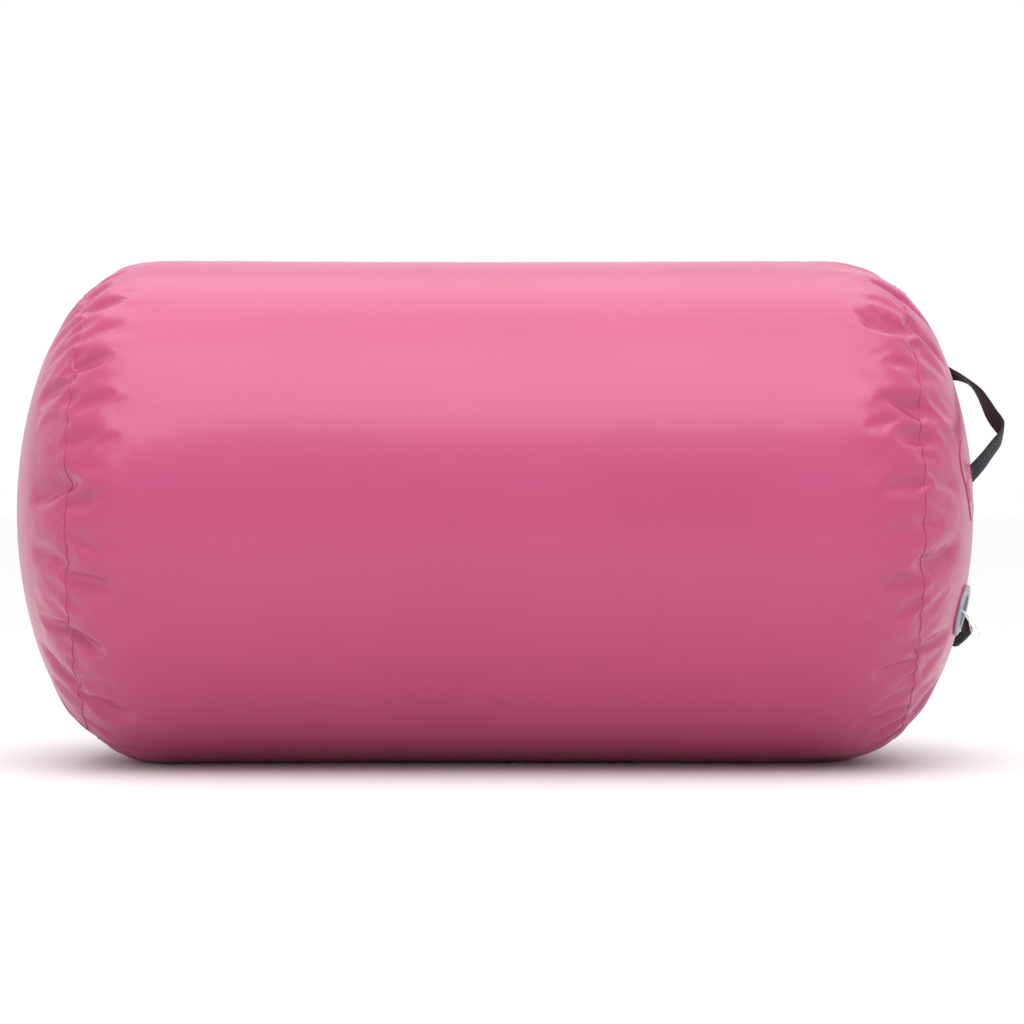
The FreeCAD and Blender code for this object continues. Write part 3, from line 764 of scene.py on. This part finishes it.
for side, name in ((1, "valve"), (-1, "plain")):
    weldRange = ringRange(0, band["rows"])
    weld = subdivided(part(side, weldRange, name + "WeldBand"))
    weld = puckerSeam(pointOutwards(weld))
    dress(thickened(weld, band["thick"], 1, band["edge"]), pvcSkin)
    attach(restOnFloor(weld), "roll")
    tapeRange = ringRange(-taping["rows"], taping["rows"])
    tape = subdivided(part(side, tapeRange, name + "InnerTape"))
    tape = puckerSeam(pointOutwards(tape))
    mod = tape.modifiers.new("Displace", "DISPLACE")
    mod.strength = -taping["under"]
    mod.mid_level = 0
    dress(thickened(tape, taping["thick"], -1), pvcSkin)
    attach(tape, "roll")
    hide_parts(f"seam_tape_{name}")

lap = {
    "turn": -35,
    "width": 26 * mm,
    "thick": 0.8 * mm,
    "lift": 0.2 * mm,
    "edge": 0.2 * mm,
    "reach": 0.462,
    "castFrom": 0.4,
}
barrelTree = BVHTree.FromObject(barrelSkin, bpy.context.evaluated_depsgraph_get())


def makeLap(name, width, lift, thick, offset):
    # a strip along the barrel, laid on its skin from the back
    deselectAll()
    bpy.ops.mesh.primitive_grid_add(x_subdivisions=160, y_subdivisions=6, size=1)
    piece = bpy.context.object
    piece.name = name
    axis = Vector((0, 0, roll["axisHeight"]))
    points = []
    for spot in pointsOf(piece):
        x = spot[0] * 2 * lap["reach"]
        turn = math.radians(lap["turn"]) + spot[1] * width / sheetCut["radius"]
        way = Vector((0, math.cos(turn), math.sin(turn)))
        start = axis + Vector((x, 0, 0)) + way * lap["castFrom"]
        hit = barrelTree.ray_cast(start, -way)
        points.append(hit[0] + hit[1] * lift)
    setPoints(piece, points)
    activate(piece)
    bpy.ops.object.shade_smooth()
    return dress(thickened(pointOutwards(piece), thick, offset, lap["edge"]), pvcPatch)


outerLap = makeLap("barrelLap", lap["width"], lap["lift"], lap["thick"], 1)
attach(outerLap, "roll")
innerLap = makeLap("barrelInnerTape", taping["lapWidth"], -taping["under"], taping["thick"], -1)
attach(innerLap, "roll")
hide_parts("barrel_seam_tape")
print("bands made")


castHeight = 50 * mm


class LoopFrame:
    # a hand loop's own frame on the dome: x runs from the low root to the high one, z is out

    def __init__(self, joint, sign):
        hinge = Vector(joint["pos_m"])
        self.z = (hinge - domeCentre).normalized()
        self.x = Vector(joint["axis"]).normalized() * sign
        self.y = self.z.cross(self.x)
        self.origin = domeCentre + self.z * roll["domeRadius"]

    def place(self, x, y, z):
        return self.origin + self.x * x + self.y * y + self.z * z

    def onSkin(self, x, y, lift):
        hit = skinTree.ray_cast(self.place(x, y, castHeight), -self.z)
        return hit[0] + hit[1] * lift

    def direction(self, x, y, z):
        return self.x * x + self.y * y + self.z * z


loopFrames = {
    "upper": LoopFrame(joints["upper_loop_swing"], 1),
    "lower": LoopFrame(joints["lower_loop_swing"], -1),
}
strap = {
    "width": 25 * mm,
    "thick": 1.7 * mm,
    "crown": 0.7 * mm,
    "lift": 0.1 * mm,
    "tailStart": 2 * mm,
    "blendFrom": 101 * mm,
    "blendTo": 74 * mm,
    "stepsToAKnot": 8,
}
patch = {
    "root": 100 * mm,
    "length": 36 * mm,
    "width": 104 * mm,
    "corner": 24 * mm,
    "thick": 0.9 * mm,
    "tail": 30 * mm,
    "strapRise": 1.75 * mm,
    "softening": 4 * mm,
    "lift": 0.12 * mm,
    "edge": 0.25 * mm,
}


def makePatch(name, loop, hand):
    deselectAll()
    bpy.ops.mesh.primitive_grid_add(x_subdivisions=44, y_subdivisions=64, size=1)
    piece = bpy.context.object
    piece.name = name
    frameOf = loopFrames[loop]
    half = patch["width"] / 2
    halfStrap = strap["width"] / 2
    points = []
    for spot in pointsOf(piece):
        y = spot[1] * 2 * half
        past = max(abs(y) - (half - patch["corner"]), 0)
        rounding = math.sqrt(max(patch["corner"] ** 2 - past**2, 0))
        far = patch["length"] - patch["corner"] + rounding
        run = (spot[0] + 0.5) * far
        overStrap = smoothStep((halfStrap + patch["softening"] - abs(y)) / patch["softening"])
        beforeEnd = smoothStep((patch["tail"] + patch["softening"] - run) / patch["softening"])
        lift = patch["thick"] + patch["lift"] + patch["strapRise"] * overStrap * beforeEnd
        points.append(frameOf.onSkin(hand * (patch["root"] + run), y, lift))
    setPoints(piece, points)
    activate(piece)
    bpy.ops.object.shade_smooth()
    piece = pointOutwards(piece)
    dress(thickened(piece, patch["thick"], -1, patch["edge"]), pvcPatch)
    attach(piece, "roll")
    return piece


for loop in ("upper", "lower"):
    for end, hand in (("low", -1), ("high", 1)):
        piece = makePatch(f"{loop}Patch{end.capitalize()}", loop, hand)
        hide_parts(f"{loop}_patch_{end}")
print("patches made")

# each loop's run between its roots, in millimetres: along the panel, across it, height over the
# panel, and how far the strap is turned about its own run, in degrees
strapRuns = {
    "upper": [
        (-103, 0, 1, 0),
        (-98, 0, 4, 0),
        (-90, 0, 10, 2),
        (-80, 0, 17, 4),
        (-66, 0, 25.5, 7),
        (-52, 0, 35, 11),
        (-43, 0, 39.8, 14),
        (-34, 0, 41, 16),
        (-24, 0, 39, 18),
        (-8, 0, 34.5, 19),
        (12, 0, 31, 17),
        (34, 0, 28.5, 6),
        (56, 0, 24.5, -14),
        (74, 0, 20, -27),
        (86, 0, 13, -26),
        (95, 0, 5.5, -10),
        (103, 0, 1, 0),
    ],
    "lower": [
        (-103, 0, 1, 0),
        (-99.5, 0, 5, 6),
        (-98, 0, 13, 15),
        (-96.5, -1, 21, 19),
        (-92.5, -2, 26.5, 19),
        (-84, -3, 28.5, 13),
        (-70, -6, 28, 0),
        (-48, -10, 27.5, -18),
        (-20, -14, 29.5, -28),
        (15, -15, 31, -30),
        (45, -12, 28, -22),
        (70, -8, 22, -10),
        (87, -4, 13, 0),
        (96, -1, 4.5, 0),
        (103, 0, 1, 0),
    ],
}


def smoothRun(knots, steps):
    # a smooth run through every knot
    knots = np.array(knots, float)
    padded = np.vstack([2 * knots[0] - knots[1], knots, 2 * knots[-1] - knots[-2]])
    line = []
    for a, b, c, d in zip(padded, padded[1:], padded[2:], padded[3:]):
        for t in np.arange(steps) / steps:
            square = 2 * a - 5 * b + 4 * c - d
            cube = 3 * b - a - 3 * c + d
            line.append(0.5 * (2 * b + (c - a) * t + square * t**2 + cube * t**3))
    line.append(knots[-1])
    return np.array(line)


def strapSection():
    # half width and thickness round the strap, with rounded selvedges and a slight crown
    half, thick = strap["width"] / 2, strap["thick"] / 2
    across = [-1, -0.985, -0.93, -0.84, -0.6, -0.3, 0, 0.3, 0.6, 0.84, 0.93, 0.985, 1]
    face = []
    for a in across:
        rim = 0 if abs(a) == 1 else 0.7 if abs(a) > 0.95 else 1.0 if abs(a) < 0.9 else 1.12
        face.append((a * half, rim * thick))
    return face + [(a, -t) for a, t in reversed(face[1:-1])]


def makeStrap(name, loop, line):
    frameOf = loopFrames[loop]
    dome = roll["domeRadius"]
    centres, widths = [], []
    for x, y, up, turn in line:
        x, y, up = x * mm, y * mm, up * mm
        level = math.sqrt(dome**2 - x**2 - y**2) - dome
        if abs(x) > patch["root"] + strap["tailStart"]:
            centres.append(frameOf.onSkin(x, y, strap["thick"] / 2 + strap["lift"]))
        else:
            centres.append(frameOf.place(x, y, level + up))
        angle = math.radians(turn)
        widths.append(frameOf.direction(0, math.cos(angle), math.sin(angle)))
    section = strapSection()
    points, spots, faces = [], [], []
    run = 0
    for k, (centre, width) in enumerate(zip(centres, widths)):
        ahead = centres[min(k + 1, len(centres) - 1)]
        behind = centres[max(k - 1, 0)]
        way = (ahead - behind).normalized()
        width = (width - way * width.dot(way)).normalized()
        out = way.cross(width) * (1 if way.cross(width).dot(frameOf.z) > 0 else -1)
        if k:
            run += (centre - centres[k - 1]).length
        offSkin = min(1, max(0, line[k][2] - 2) / 8)  # the crown grows as the strap rises
        for a, t in section:
            crown = strap["crown"] * (1 - (2 * a / strap["width"]) ** 2) * offSkin
            points.append(centre + width * a + out * (t + crown))
            spots.append((run, a + (0.05 if t < 0 else 0)))
    size = len(section)
    for k in range(len(centres) - 1):
        for i in range(size):
            j = (i + 1) % size
            faces.append((k * size + i, k * size + j, (k + 1) * size + j, (k + 1) * size + i))
    faces.append(tuple(range(size))[::-1])
    faces.append(tuple((len(centres) - 1) * size + i for i in range(size)))
    piece = clothMesh(name, points, faces)
    layer = piece.data.uv_layers.new(name="cut")
    for loopCorner in piece.data.loops:
        layer.data[loopCorner.index].uv = spots[loopCorner.vertex_index]
    evenSides(piece)
    bpy.ops.object.shade_smooth_by_angle(angle=math.radians(50))
    return dress(piece, webbing)


def tailKnots(hand):
    return [(hand * s, 0, 1, 0) for s in (129, 121, 113, 107)]


for loop, knots in strapRuns.items():
    line = smoothRun(tailKnots(-1) + knots + tailKnots(1)[::-1], strap["stepsToAKnot"])
    middle = len(line) // 2
    frameOf = loopFrames[loop]
    for end, hand, stretch in (("low", -1, line[: middle + 1]), ("high", 1, line[middle:])):
        piece = makeStrap(f"{loop}Strap{end.capitalize()}", loop, stretch)
        start = frameOf.place(hand * strap["blendFrom"], 0, 0)
        stop = frameOf.place(hand * strap["blendTo"], 0, 0)
        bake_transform(piece)
        taken = [f"{loop}_web_end_{end}"] + ([f"{loop}_web_loop"] if hand < 0 else [])
        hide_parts(*taken)
print("straps made")


layoutTurn = math.radians(39.5)  # of the valve's own x, about its axis
capSink = 4 * mm
valveX = Vector((0, math.cos(layoutTurn), math.sin(layoutTurn)))
valveX = (valveX - valveAxis * valveX.dot(valveAxis)).normalized()
valveTurned = Matrix((valveX, valveAxis.cross(valveX), valveAxis)).transposed().to_4x4()
valveSeat = Matrix.Translation(valvePlace) @ valveTurned
capSeat = valveSeat @ Matrix.Translation((0, 0, -capSink))
# outlines of turned pieces as (radius, height), and bars as two corners, in millimetres
collarOutline = [
    (20.5, 4.2),
    (19.5, 3.4),
    (19.5, -5),
    (17.5, -5),
    (17.5, -21.5),
    (12, -21.5),
    (12, -24),
    (21.5, -24),
    (21.5, 0.6),
    (30, 0.6),
    (30, 2.2),
    (29.3, 3.1),
    (27.6, 3.75),
    (25.8, 3.9),
    (25.5, 3.4),
    (24.5, 3.4),
    (24.2, 4.0),
    (22.5, 4.2),
]
hubOutline = [(3, -24), (5.2, -24), (5.2, -20.5), (3, -20.5)]
capOutline = [
    (2, 1.2),
    (15.4, 1.2),
    (15.9, 0.7),
    (17.1, 0.7),
    (17.6, 1.2),
    (18.7, 1.2),
    (19.1, 0.8),
    (19.1, -0.7),
    (17, -0.7),
    (17, -4.4),
    (15.9, -4.4),
    (15.9, -6.4),
    (17, -6.4),
    (17, -8),
    (14.5, -8),
    (14.5, -1.5),
    (2, -1.5),
]
bossOutline = [(2, 1), (4.4, 1), (4.4, 3.6), (2, 3.6)]
armCorners = (4.6, -1.3, -24), (12.6, 1.3, -21.5)
wingCorners = (3.6, -3.25, 0.9), (15.5, 3.25, 3.6)
moulding = {"turnSteps": 96, "collarEdge": 0.22 * mm, "capEdge": 0.3 * mm, "weldOver": 0.001 * mm}


def turnedPiece(name, outline):
    deselectAll()
    bpy.ops.mesh.primitive_circle_add(vertices=len(outline), radius=10 * mm)
    piece = bpy.context.object
    piece.name = name
    setPoints(piece, [(radius * mm, 0, height * mm) for radius, height in outline])
    bpy.ops.object.mode_set(mode="EDIT")
    bpy.ops.mesh.select_all(action="SELECT")
    steps = moulding["turnSteps"]
    bpy.ops.mesh.spin(steps=steps, angle=2 * math.pi, center=(0, 0, 0), axis=(0, 0, 1))
    bpy.ops.mesh.select_all(action="SELECT")
    bpy.ops.mesh.remove_doubles(threshold=moulding["weldOver"])
    bpy.ops.mesh.normals_make_consistent(inside=False)
    bpy.ops.object.mode_set(mode="OBJECT")
    return piece


def barPiece(name, low, high, turn):
    # a straight bar between two corners, turned about the axis by degrees
    deselectAll()
    bpy.ops.mesh.primitive_cube_add(size=1)
    piece = bpy.context.object
    piece.name = name
    low, high = Vector(low) * mm, Vector(high) * mm
    spread = Matrix.Diagonal((*(high - low), 1))
    turned = Matrix.Rotation(math.radians(turn), 4, "Z")
    piece.data.transform(turned @ Matrix.Translation((low + high) / 2) @ spread)
    return piece


def joined(pieces, place, edge, finish):
    deselectAll()
    for piece in pieces:
        piece.select_set(True)
    bpy.context.view_layer.objects.active = pieces[0]
    bpy.ops.object.join()
    piece = pieces[0]
    piece.data.transform(place)
    mod = piece.modifiers.new("Bevel", "BEVEL")
    mod.width = edge
    mod.segments = 3
    mod.limit_method = "ANGLE"
    mod.angle_limit = math.radians(28)
    applyModifiers(piece)
    bpy.ops.object.shade_smooth_by_angle(angle=math.radians(40))
    return dress(piece, finish)


arms = [barPiece(f"arm{k}", *armCorners, 120 * k) for k in range(3)]
collarParts = [turnedPiece("valveCollar", collarOutline), turnedPiece("hub", hubOutline)] + arms
collar = joined(collarParts, valveSeat, moulding["collarEdge"], greyPlastic)
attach(collar, "roll")
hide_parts("valve_collar")
wings = [barPiece(f"wing{k}", *wingCorners, 180 * k) for k in range(2)]
capParts = [turnedPiece("valveCap", capOutline), turnedPiece("boss", bossOutline)] + wings
# the cap wears the grey plastic darkened as painted shade for the recess it sits in
cap = joined(capParts, capSeat, moulding["capEdge"], capPlasticPaintedShade)
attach(cap, "cap")
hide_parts("valve_cap")

cadFinishes = {
    "valve_pad": pvcPatch,
    "valve_nut": greyPlastic,
    # the swivel in the recess takes the same plastic, darkened as painted shade
    "cap_swivel": capPlasticPaintedShade,
    "valve_gasket": rubber,
    "valve_seal": rubber,
    "cap_o_ring": rubber,
    "valve_stem": darkPlastic,
    "valve_button": darkPlastic,
    "valve_disc": darkPlastic,
    "valve_spring": steel,
    "spring_washer": steel,
    "stem_clip": steel,
    "cord_crimp": cordBraid,
}
for node, finish in cadFinishes.items():
    dress(bpy.data.objects[node], finish)

cord = {
    "radius": 0.6 * mm,
    "crimpBase": 0.3 * mm,
    "crimpLength": 10.7 * mm,
    "crimpWay": (0.75, 0, -0.66),
    "down": (0.41, 0, -0.91),
    "side": (0.91, 0, 0.41),
}
cordPoints = [
    (0.66, 0),
    (0.95, 4),
    (2.1, 8.2),
    (3.2, 12.4),
    (3.8, 16.6),
    (4, 20.8),
    (3.7, 24.5),
    (1.5, 26.7),
    (-1.5, 26.7),
    (-3.7, 24.5),
    (-4, 20.8),
    (-3.7, 16.6),
    (-3, 12.4),
    (-2, 8.2),
    (-0.9, 4),
    (-0.66, 0),
]
crimpEnd = valvePlace + valveAxis * cord["crimpBase"]
crimpEnd += Vector(cord["crimpWay"]).normalized() * cord["crimpLength"]
side, down = (Vector(cord[key]).normalized() for key in ("side", "down"))
route = [crimpEnd + side * (a * mm) + down * (b * mm) for a, b in cordPoints]


def makeCord():
    curve = bpy.data.curves.new("pullCord", "CURVE")
    curve.dimensions = "3D"
    curve.bevel_depth = cord["radius"]
    curve.bevel_resolution = 4
    curve.resolution_u = 12
    spline = curve.splines.new("NURBS")
    spline.points.add(len(route) - 1)
    for point, spot in zip(spline.points, route):
        point.co = (*spot, 1)
    spline.order_u = 3
    spline.use_endpoint_u = True
    piece = bpy.data.objects.new("pullCord", curve)
    bpy.context.scene.collection.objects.link(piece)
    curve.materials.append(cordBraid)
    return piece


pullCord = makeCord()
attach(pullCord, "cap_carrier")
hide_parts("cap_cord")
print("cord made")


studio = {
    "distance": 3.1,
    "lens": 91.0,
    "shiftX": 0.0166,
    "floorSize": 240,
    "floorHeight": -0.4 * mm,
    "floorFade": (1.2, 6.0),  # distances from the middle where it turns from near to far
    "floorNear": (0.80,) * 3,
    "floorFar": (0.97,) * 3,
    "aim": (0, 0, 0.3),
}

deselectAll()
bpy.ops.mesh.primitive_plane_add(size=studio["floorSize"], location=(0, 0, studio["floorHeight"]))
floor = bpy.context.object
floor.name = "floor"
paleFloor = Nodes("paleFloor")
paleFloor.set(Roughness=0.9, Specular_IOR_Level=0.2)
fromMiddle = paleFloor.add("ShaderNodeVectorMath", operation="LENGTH")
paleFloor.link(paleFloor.coordinates(), fromMiddle.inputs[0])
nearEnd, farEnd = studio["floorFade"]
fade = paleFloor.add("ShaderNodeMapRange", From_Min=nearEnd, From_Max=farEnd)
paleFloor.link(fromMiddle.outputs["Value"], fade.inputs["Value"])
shades = [(0, studio["floorNear"]), (1, studio["floorFar"])]
paleFloor.drive("Base Color", paleFloor.ramp(fade.outputs[0], shades))
dress(floor, paleFloor.material)


def addLight(name, place, energy, width, height):
    light = bpy.data.lights.new(name, "AREA")
    light.shape = "RECTANGLE"
    light.size, light.size_y = width, height
    light.energy = energy
    lamp = bpy.data.objects.new(name, light)
    lamp.location = place
    lamp.rotation_euler = (Vector(place) - Vector(studio["aim"])).to_track_quat("Z", "Y").to_euler()
    bpy.context.scene.collection.objects.link(lamp)


addLight("frontSoftbox", (0, -1.5, 2.5), 60, 3.6, 2.1)
addLight("topSoftbox", (0, 0.5, 2.7), 32, 3.6, 2.2)

world = bpy.data.worlds.new("studio")
world.use_nodes = True
world.node_tree.nodes["Background"].inputs["Color"].default_value = (1, 1, 1, 1)
world.node_tree.nodes["Background"].inputs["Strength"].default_value = 1.0
bpy.context.scene.world = world
bpy.context.scene.view_settings.view_transform = "Standard"

camera = bpy.data.objects.new("camera", bpy.data.cameras.new("camera"))
camera.data.lens = studio["lens"]
camera.data.shift_x = studio["shiftX"]
camera.location = (0, -studio["distance"], roll["axisHeight"])
camera.rotation_euler = (math.pi / 2, 0, 0)
bpy.context.scene.collection.objects.link(camera)
bpy.context.scene.camera = camera

deselectAll()
